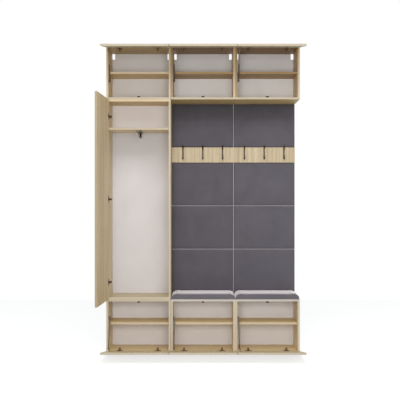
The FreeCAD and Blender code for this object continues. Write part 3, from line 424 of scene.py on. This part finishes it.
def oak(name, axis, thick, turn=0.0, place=(0, 0, 0), light=OAK_LIGHT, dark=OAK_DARK,
        edge=OAK_EDGE, figure=0.62, cell=None, rooms=(), painted_light_climbs=()):
    """Oak laminate with edge bands, its grain along one axis and its thickness along another.

    A turn about X follows an open flap. Where a cell is given, each board in one has its own
    tone and figure. Each climb is a tint of painted light or shade that comes in between two
    heights."""
    material, tree, shader = new_material("oak_" + name, Coat_Weight=0.05, Coat_Roughness=0.4)
    stretch = [1.0, 1.0, 1.0]
    stretch["XYZ".index(axis)] = ALONG_GRAIN
    coordinates = tree.add("ShaderNodeTexCoord")
    vector = coordinates.outputs["Object"]
    where = split(tree, vector)
    normal = split(tree, tree.vector("ABSOLUTE", coordinates.outputs["Normal"]))
    tone = None
    if cell:
        board = tree.vector("SNAP", tree.vector("ADD", vector, CELL_START), cell)
        chance = tree.add("ShaderNodeTexWhiteNoise", {"Vector": board},
                          noise_dimensions="3D").outputs
        shadow = tree.remap(joint_lines(tree, where, normal), 0.0, 1.0, 1.0, JOINT_SHADE)
        tone = tree.math("MULTIPLY", tree.remap(chance["Value"], 0.0, 1.0, *TONE_SPREAD), shadow)
        vector = tree.vector("ADD", vector, tree.vector("SCALE", chance["Color"], FIGURE_SHIFT))
    values = {"Vector": vector, "Location": place, "Rotation": (turn, 0, 0), "Scale": stretch}
    vector = tree.add("ShaderNodeMapping", values).outputs[0]
    if axis == "X":
        values = {"Vector": vector, "Rotation": (0, 0, math.pi / 2)}
        vector = tree.add("ShaderNodeMapping", values).outputs[0]
    values = {"Vector": vector, "Light": light, "Dark": dark, "Figure": figure}
    grain = tree.add("ShaderNodeGroup", values, node_tree=GRAIN).outputs
    narrow = tree.math("LESS_THAN", normal[thick], BROAD_FACE)
    colour = tree.mix(narrow, grain["Color"], tree.mix(EDGE_COVER, grain["Color"], edge))
    if tone is not None:
        colour = tree.vector("SCALE", colour, tone)
    colour = tinted(tree, colour, where, rooms)
    # Painted light and shade graded with height
    for start, full, tint in painted_light_climbs:
        colour = tree.mix(tree.remap(where["Z"], start, full), colour, tint, blend="MULTIPLY")
    tree.join(colour, shader.inputs["Base Color"])
    tree.join(grain["Roughness"], shader.inputs["Roughness"])
    add_bump(tree, shader, grain["Height"], *GRAIN_BUMP)
    return material


# Tints on painted pieces stay in front of this face, so that the backs show none from
# behind. A mottle takes a finish's roughness from the first share of it to the second.

BACK_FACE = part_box("wardrobe_back_panel")[1][1] - 0.001
MOTTLE_ROUGHNESS = (0.85, 1.2)


def painted(name, colour, roughness, metallic=0.0, scale=40.0, amount=0.25, rooms=(),
            **shader_values):
    """A smooth painted, plated or moulded surface with a faint mottle."""
    material, tree, shader = new_material(name, Roughness=roughness, Metallic=metallic,
                                          **shader_values)
    vector = object_vector(tree)
    if rooms:
        place = split(tree, vector)
        ahead = tree.math("LESS_THAN", place["Y"], BACK_FACE)
        colour = tree.mix(ahead, colour, tinted(tree, colour, place, rooms))
    values = {"Vector": vector, "Color": colour, "Scale": scale, "Amount": amount}
    mottle = tree.add("ShaderNodeGroup", values, node_tree=MOTTLE).outputs
    tree.join(mottle["Color"], shader.inputs["Base Color"])
    reach = [min(1.0, roughness * share) for share in MOTTLE_ROUGHNESS]
    tree.join(tree.remap(mottle["Share"], 0.0, 1.0, *reach), shader.inputs["Roughness"])
    add_bump(tree, shader, mottle["Height"], *PAINT_BUMP)
    return material


# What stands further forward than this on the board behind the pads is a seam's strip.

SEAM_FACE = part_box("coat_rail_boards")[1][1] - 0.0005


def seamed_board(name, board, seam_highlight):
    """The board behind the pads, dark, with the strips that fill the pads' seams painted pale
    as a painted highlight along the pads' rounded edges.
    """
    material, tree, shader = new_material(name, Roughness=0.6)
    vector = object_vector(tree)
    ahead = tree.math("LESS_THAN", split(tree, vector)["Y"], SEAM_FACE)
    values = {"Vector": vector, "Color": tree.mix(ahead, board, seam_highlight), "Scale": 12.0}
    mottle = tree.add("ShaderNodeGroup", values, node_tree=MOTTLE).outputs
    tree.join(mottle["Color"], shader.inputs["Base Color"])
    add_bump(tree, shader, mottle["Height"], *PAINT_BUMP)
    return material


# How sharply cloth turns to its painted sheen, and the heights between which painted shade
# dims it

GLANCE_POWER = 3.0
TOP_SHADE_HEIGHTS = (1.82, 1.95)


def upholstery(name, pile, shade, sheen, painted_sheen, rooms=(), top_shade=1.0):
    """Dark grey short-pile cloth whose colour turns light where it is seen along its surface,
    a painted sheen.

    High up its colour dims to a share, as painted shade under the cabinets above."""
    material, tree, shader = new_material(name, Roughness=0.9, Sheen_Weight=sheen,
                                          Sheen_Roughness=0.35, Sheen_Tint=srgb(235, 228, 232))
    vector = object_vector(tree)
    place = split(tree, vector)
    values = {"Vector": vector, "Pile": pile, "Shade": shade}
    nap = tree.add("ShaderNodeGroup", values, node_tree=NAP).outputs
    # A painted sheen: the colour turns light at glancing views
    facing = tree.add("ShaderNodeLayerWeight", {"Blend": 0.5}).outputs["Facing"]
    colour = tree.mix(tree.math("POWER", facing, GLANCE_POWER), nap["Color"], painted_sheen)
    colour = tinted(tree, colour, place, rooms)
    if top_shade < 1:
        colour = tree.vector("SCALE", colour, tree.remap(place["Z"], *TOP_SHADE_HEIGHTS, 1.0, top_shade))
    tree.join(colour, shader.inputs["Base Color"])
    add_bump(tree, shader, nap["Height"], *CLOTH_BUMP)
    return material


# The flaps stand open this far off level, and have lighter tones and edges: lit copies of the
# one oak laminate, their tones painted light for where they stand.

FLAP_TURN = math.radians(9)
FLAP_EDGE = srgb(172, 159, 139)
FLAP_LIGHT = srgb(207, 196, 163)
FLAP_DARK = srgb(168, 151, 115)

MATERIALS = {
    "oak_upright": oak("upright", "Z", "X", cell=UPRIGHT_CELL, rooms=UPRIGHT_TINTS,
                       painted_light_climbs=UPRIGHT_LIGHT_AND_SHADE_CLIMBS),
    "oak_level": oak("level", "X", "Z", place=(0, 0, 0.3), light=CABINET_LIGHT,
                     dark=CABINET_DARK, cell=LEVEL_CELL, rooms=LEVEL_TINTS),
    "oak_lower_shelf": oak("lower_shelf", "X", "Z", place=(0.1, 0, 0.5), light=SHELF_LIGHT,
                           dark=SHELF_DARK, edge=srgb(198, 181, 155), cell=LEVEL_CELL),
    "oak_upper_shelf": oak("upper_shelf", "X", "Z", place=(0.1, 0, 0.5), light=SHELF_LIGHT,
                           dark=SHELF_DARK, edge=srgb(216, 194, 164), cell=LEVEL_CELL,
                           rooms=UPPER_SHELF_TINTS),
    "oak_hat_shelf": oak("hat_shelf", "X", "Z", place=(0.2, 0, 0.1), light=HAT_SHELF_LIGHT,
                         dark=HAT_SHELF_DARK, edge=srgb(166, 153, 131), cell=LEVEL_CELL),
    "oak_wardrobe": oak("wardrobe", "X", "Z", place=(0.2, 0, 0.1), light=WARDROBE_LIGHT,
                        dark=WARDROBE_DARK, edge=srgb(186, 173, 150), cell=LEVEL_CELL,
                        rooms=WARDROBE_TINTS),
    "oak_tall_side": oak("tall_side", "Z", "X", edge=srgb(194, 181, 158), cell=UPRIGHT_CELL,
                         rooms=TALL_SIDE_TINTS),
    "oak_rail": oak("rail", "Z", "Y", place=(0.7, 0, 0.4), light=RAIL_LIGHT, dark=RAIL_DARK,
                    figure=0.7),
    "oak_door": oak("door", "Z", "X", place=(0.2, 0.3, 0.1), edge=srgb(150, 134, 108),
                    figure=0.75),
    "oak_lower_flap": oak("lower_flap", "Y", "Z", turn=FLAP_TURN, light=FLAP_LIGHT,
                          dark=FLAP_DARK, edge=FLAP_EDGE),
    "oak_upper_flap": oak("upper_flap", "Y", "Z", turn=-FLAP_TURN, place=(0.4, 0, 0),
                          light=FLAP_LIGHT, dark=FLAP_DARK, edge=FLAP_EDGE),
    "lower_back": painted("lower_back", srgb(232, 229, 231), 0.55, scale=6.0, amount=0.08),
    "upper_back": painted("upper_back", srgb(234, 232, 232), 0.55, scale=6.0, amount=0.08,
                          rooms=UPPER_BACK_TINTS),
    "wardrobe_back": painted("wardrobe_back", srgb(204, 201, 202), 0.55, scale=6.0,
                             amount=0.08, rooms=HAT_BACK_PAINTED_LIGHT),
    "pale_panel": seamed_board("pale_panel", srgb(96, 84, 70), srgb(206, 201, 206)),
    "black_steel": painted("black_steel", srgb(58, 44, 30), 0.42, metallic=0.4, amount=0.4),
    "bronze_steel": painted("bronze_steel", srgb(138, 112, 76), 0.42, metallic=0.3,
                            amount=0.35, rooms=BRACKET_TINTS),
    "bronze_arm": painted("bronze_arm", srgb(116, 88, 52), 0.42, metallic=0.2, amount=0.4,
                          rooms=DOOR_HINGE_TINTS),
    "dark_rod": painted("dark_rod", srgb(44, 36, 30), 0.4, metallic=0.4, amount=0.2),
    # The upper stays' rods take the oak around them into their colour, a painted reflection
    "satin_rod": painted("satin_rod", srgb(124, 110, 90), 0.38, metallic=0.5, amount=0.2),
    "hook_steel": painted("hook_steel", srgb(62, 44, 26), 0.5, metallic=0.2, amount=0.35),
    "zinc_steel": painted("zinc_steel", srgb(132, 127, 118), 0.34, metallic=0.9, amount=0.3),
    "stay_grey": painted("stay_grey", srgb(76, 68, 60), 0.45, metallic=0.3, amount=0.2),
    "stay_light": painted("stay_light", srgb(106, 99, 91), 0.45, metallic=0.3, amount=0.2),
    "black_plastic": painted("black_plastic", srgb(20, 14, 10), 0.6, amount=0.3,
                             Specular_IOR_Level=0.05),
    "track_grey": painted("track_grey", srgb(84, 74, 62), 0.45, metallic=0.2, amount=0.2),
    "pale_plastic": painted("pale_plastic", srgb(202, 190, 166), 0.5, amount=0.15),
    "chrome_bar": painted("chrome_bar", srgb(100, 93, 83), 0.4, metallic=0.8, amount=0.2),
    # Both cloths carry a painted sheen in their colour at glancing views; the wall cloth also
    # carries painted shade on the left pads and near the top.
    "wall_fabric": upholstery("wall_fabric", srgb(98, 94, 101), srgb(78, 74, 81), 0.12,
                              srgb(134, 129, 135), rooms=LEFT_PAD_PAINTED_SHADE, top_shade=0.64),
    "seat_fabric": upholstery("seat_fabric", srgb(108, 103, 109), srgb(84, 80, 86), 1.0,
                              srgb(250, 244, 244)),
}

NODE_MATERIALS = {
    "lower_side_panels": "oak_upright",
    "upper_side_panels": "oak_upright",
    "wardrobe_side_panels": "oak_tall_side",
    "lower_tops_and_bottoms": "oak_level",
    "upper_tops_and_bottoms": "oak_level",
    "wardrobe_top_and_bottom": "oak_wardrobe",
    "lower_shelves": "oak_lower_shelf",
    "upper_shelves": "oak_upper_shelf",
    "hat_shelf": "oak_hat_shelf",
    "lower_back_panels": "lower_back",
    "upper_back_panels": "upper_back",
    "wardrobe_back_panel": "wardrobe_back",
    "hanger_track": "track_grey",
    "coat_rail_boards": "oak_rail",
    "wardrobe_door": "oak_door",
    "hinge_arms": "bronze_arm",
}


def dress_nodes():
    """Gives every carried-over node its finish."""
    slots = {part["node"]: part["material_slot"] for part in frame["record"]["subparts"]}
    for name, thing in frame["nodes"].items():
        if name in NODE_MATERIALS:
            choice = NODE_MATERIALS[name]
        elif "flap_" in name and "fittings" not in name:
            choice = "oak_lower_flap" if name.startswith("lower") else "oak_upper_flap"
        elif "_stay_rod_" in name:
            choice = "satin_rod" if name.startswith("upper") else "dark_rod"
        elif name.startswith("lower_stay_cylinder"):
            choice = "stay_light"
        else:
            choice = slots[name]
        thing.data.materials.clear()
        thing.data.materials.append(MATERIALS[choice])


dress_nodes()

# Soft goods


def link(name, mesh, material):
    thing = bpy.data.objects.new(name, mesh)
    bpy.context.scene.collection.objects.link(thing)
    mesh.materials.append(material)
    return thing


def from_bmesh(name, shape, material):
    mesh = bpy.data.meshes.new(name)
    shape.to_mesh(mesh)
    shape.free()
    return link(name, mesh, material)


def only(thing):
    bpy.ops.object.select_all(action="DESELECT")
    thing.select_set(True)
    bpy.context.view_layer.objects.active = thing


def smooth(thing):
    for face in thing.data.polygons:
        face.use_smooth = True


# The steps in a block's round corners and crown, and how far up its sides the crown starts

CORNER_STEPS = 6
CROWN_STEPS = 7
CROWN_START = 0.35


def rounded_ring(width, length, corner, insets, z):
    """The points of a rounded rectangle, set in across and along."""
    x = width / 2 - insets[0] - corner
    y = length / 2 - insets[1] - corner
    points = []
    for right, back, start in ((1, 1, 0), (-1, 1, 90), (-1, -1, 180), (1, -1, 270)):
        for step in range(CORNER_STEPS + 1):
            angle = math.radians(start + 90 * step / CORNER_STEPS)
            points.append((right * x + corner * math.cos(angle),
                           back * y + corner * math.sin(angle), z))
    return points


def rounded_block(width, length, thick, corner, rounds):
    """A block on z = 0 with straight sides and a crown that rounds over across and along."""
    start = thick * CROWN_START
    outlines = [rounded_ring(width, length, corner, (0, 0), 0)]
    for step in range(CROWN_STEPS + 1):
        angle = math.pi / 2 * step / CROWN_STEPS
        insets = [reach * (1 - math.cos(angle)) for reach in rounds]
        level = start + (thick - start) * math.sin(angle)
        outlines.append(rounded_ring(width, length, corner, insets, level))
    shape = bmesh.new()
    rings = [[shape.verts.new(point) for point in outline] for outline in outlines]
    count = len(rings[0])
    for lower, upper in zip(rings, rings[1:]):
        for index in range(count):
            after = (index + 1) % count
            shape.faces.new((lower[index], lower[after], upper[after], upper[index]))
    shape.faces.new(rings[-1])
    shape.faces.new(tuple(reversed(rings[0])))
    return shape


# The swelling: how many frames it takes, and how stiff the cloth is and how finely stepped

SWELL_FRAMES = 20
CLOTH_STIFFNESS = 25
CLOTH_BENDING = 0.4
CLOTH_QUALITY = 4


def simulate(thing, voxel, pressure, cap):
    """Remeshes the piece finely, lets it swell under pressure and caps how far it went."""
    only(thing)
    remesh = thing.modifiers.new("remesh", "REMESH")
    remesh.mode = "VOXEL"
    remesh.voxel_size = voxel
    bpy.ops.object.modifier_apply(modifier=remesh.name)
    rest = [vert.co.copy() for vert in thing.data.vertices]
    foot = min(point.z for point in rest)
    held = thing.vertex_groups.new(name="foot")
    low = [index for index, point in enumerate(rest) if point.z < foot + voxel / 2]
    held.add(low, 1.0, "REPLACE")
    cloth = thing.modifiers.new("swell", "CLOTH")
    settings = cloth.settings
    settings.use_pressure = True
    settings.uniform_pressure_force = pressure
    settings.effector_weights.gravity = 0
    settings.vertex_group_mass = held.name
    settings.tension_stiffness = CLOTH_STIFFNESS
    settings.compression_stiffness = CLOTH_STIFFNESS
    settings.bending_stiffness = CLOTH_BENDING
    settings.quality = CLOTH_QUALITY
    cloth.point_cache.frame_end = SWELL_FRAMES
    scene = bpy.context.scene
    for number in range(1, SWELL_FRAMES + 1):
        scene.frame_set(number)
    only(thing)
    bpy.ops.object.modifier_apply(modifier=cloth.name)
    scene.frame_set(1)
    for vert, before in zip(thing.data.vertices, rest):
        step = vert.co - before
        if step.length > cap:
            vert.co = before + step * (cap / step.length)
        vert.co.z = max(vert.co.z, foot)


def keep_inside(thing, low, high):
    """Presses the few points that swelled past the room they have back to its limits."""
    for vert in thing.data.vertices:
        for axis in range(3):
            vert.co[axis] = min(max(vert.co[axis], low[axis]), high[axis])


def fill_out(thing, low, high):
    """Stretches the piece across and along so that it just fills its room."""
    for axis in (0, 1):
        values = [vert.co[axis] for vert in thing.data.vertices]
        least = min(values)
        scale = (high[axis] - low[axis]) / (max(values) - least)
        for vert in thing.data.vertices:
            vert.co[axis] = low[axis] + (vert.co[axis] - least) * scale


def subdivide(thing):
    only(thing)
    finer = thing.modifiers.new("finer", "SUBSURF")
    finer.levels = finer.render_levels = 1
    bpy.ops.object.modifier_apply(modifier=finer.name)


def settle(thing, matrix):
    """Puts a piece's place into its mesh."""
    thing.data.transform(matrix)
    thing.data.update()


# Seat cushions: the gap below and the room above, how far the crown comes in across and
# along, the corners' radius, and the grid, pressure and furthest reach of the swelling.

SEAT_ROOM = 0.0003
SEAT_HEADROOM = 0.002
SEAT_ROUNDS = (0.021, 0.007)
SEAT_CORNER = 0.013
SEAT_VOXEL = 0.005
SEAT_PRESSURE = 4.0
SEAT_SWELL = 0.005


def make_seat(node, index):
    """A seat cushion: tight cloth over foam, round at both ends, flat where it rests."""
    low, high = (Vector(corner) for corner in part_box(node))
    size = high - low
    shape = rounded_block(size.x, size.y, size.z - SEAT_SWELL / 2, SEAT_CORNER, SEAT_ROUNDS)
    place = ((low.x + high.x) / 2, (low.y + high.y) / 2, low.z + SEAT_ROOM)
    bmesh.ops.translate(shape, vec=place, verts=shape.verts)
    seat = from_bmesh("seat_cover_%d" % index, shape, MATERIALS["seat_fabric"])
    simulate(seat, SEAT_VOXEL, SEAT_PRESSURE, SEAT_SWELL)
    keep_inside(seat, low + Vector((0, 0, SEAT_ROOM)), high + Vector((0, 0, SEAT_HEADROOM)))
    fill_out(seat, low, high)
    subdivide(seat)
    smooth(seat)
    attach(seat, "root")
    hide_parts(node)


for index, name in enumerate(("seat_cushion_middle", "seat_cushion_right"), start=1):
    make_seat(name, index)


# Wall pads, in the same terms, with the seam between two pads and the rows below the
# coat rail.

PAD_HEADROOM = 0.001
PAD_ROUNDS = (0.008, 0.008)
PAD_CORNER = 0.005
PAD_VOXEL = 0.0055
PAD_PRESSURE = 3.0
PAD_SWELL = 0.002
PAD_SEAM = 0.003
PAD_ROWS = 3


def pad_places():
    """Each wall pad's lowest and highest corner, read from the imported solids."""
    low, high = (Vector(corner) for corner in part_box("wall_pads"))
    width = (high.x - low.x - PAD_SEAM) / 2
    rail_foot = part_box("coat_rail_boards")[0][2]
    pitch = (rail_foot - low.z + PAD_SEAM / 2) / PAD_ROWS
    height = pitch - PAD_SEAM
    levels = [low.z + row * pitch for row in range(PAD_ROWS)]
    levels.append(high.z - height)
    places = []
    for column in range(2):
        x = low.x + column * (width + PAD_SEAM)
        for z in levels:
            places.append((Vector((x, low.y, z)), Vector((x + width, high.y, z + height))))
    return places


def make_pads():
    """Eight covers from one swollen pad, every other one turned half round."""
    places = pad_places()
    size = places[0][1] - places[0][0]
    shape = rounded_block(size.x, size.z, size.y - PAD_SWELL / 2, PAD_CORNER, PAD_ROUNDS)
    master = from_bmesh("wall_pad_master", shape, MATERIALS["wall_fabric"])
    simulate(master, PAD_VOXEL, PAD_PRESSURE, PAD_SWELL)
    room = Vector((size.x / 2, size.z / 2, 0))
    keep_inside(master, -room, room + Vector((0, 0, size.y + PAD_HEADROOM)))
    fill_out(master, -room, room)
    upright = Matrix.Rotation(math.pi / 2, 4, "X")
    for index, (low, high) in enumerate(places):
        mesh = master.data.copy()
        mesh.materials.clear()
        pad = link("wall_pad_cover_%d" % (index + 1), mesh, MATERIALS["wall_fabric"])
        turned = Matrix.Rotation(math.pi * (index % 2), 4, "Z")
        centre = Vector(((low.x + high.x) / 2, high.y, (low.z + high.z) / 2))
        settle(pad, Matrix.Translation(centre) @ upright @ turned)
        smooth(pad)
        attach(pad, "root")
        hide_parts("wall_pads")
    bpy.data.objects.remove(master)


make_pads()

# Stage and light


def plain_view(tree):
    """Where a ray comes straight from the camera, a polished finish or glass."""
    path = tree.add("ShaderNodeLightPath").outputs
    seen = tree.math("MAXIMUM", path["Is Camera Ray"], path["Is Glossy Ray"])
    return tree.math("MAXIMUM", seen, path["Is Transmission Ray"])


def make_floor():
    """A pale floor that fades towards the white backdrop."""
    shape = bmesh.new()
    bmesh.ops.create_grid(shape, x_segments=1, y_segments=1, size=FLOOR_REACH)
    material, tree, shader = new_material("floor", Base_Color=FLOOR_TONE, Roughness=0.9)
    glow = tree.add("ShaderNodeEmission", {"Color": WHITE, "Strength": WHITE_STRENGTH})
    share = tree.math("MULTIPLY", plain_view(tree), WHITE_SHARE)
    part = tree.add("ShaderNodeMixShader", {0: share, 1: shader.outputs[0], 2: glow.outputs[0]})
    surface = material.node_tree.nodes["Material Output"].inputs["Surface"]
    tree.join(part.outputs[0], surface)
    floor = from_bmesh("floor", shape, material)


def make_world():
    """Soft light from all round, and a plain white backdrop."""
    world = bpy.data.worlds.new("studio")
    world.use_nodes = True
    bpy.context.scene.world = world
    tree = Tree(world.node_tree)
    fill = world.node_tree.nodes["Background"]
    fill.inputs["Color"].default_value = SKY_TONE
    fill.inputs["Strength"].default_value = SKY_STRENGTH
    white = tree.add("ShaderNodeBackground", {"Color": WHITE, "Strength": 1.0})
    part = tree.add("ShaderNodeMixShader",
                    {0: plain_view(tree), 1: fill.outputs[0], 2: white.outputs[0]})
    tree.join(part.outputs[0], world.node_tree.nodes["World Output"].inputs["Surface"])


def make_light(name, place, target, size, watts):
    data = bpy.data.lights.new(name, "AREA")
    data.shape = "RECTANGLE"
    data.size, data.size_y = size
    data.energy = watts
    lamp = bpy.data.objects.new(name, data)
    bpy.context.scene.collection.objects.link(lamp)
    lamp.location = place
    lamp.rotation_euler = (Vector(target) - Vector(place)).to_track_quat("-Z", "Y").to_euler()


make_floor()
make_world()
make_light("front", place=(0.0, -5.6, 1.45), target=(0, 0, 1.25), size=(2.4, 1.6), watts=116)
make_light("above", place=(0.0, -3.2, 4.2), target=(0, 0, 1.0), size=(3.0, 2.0), watts=98)

bpy.context.scene.view_settings.view_transform = "Standard"
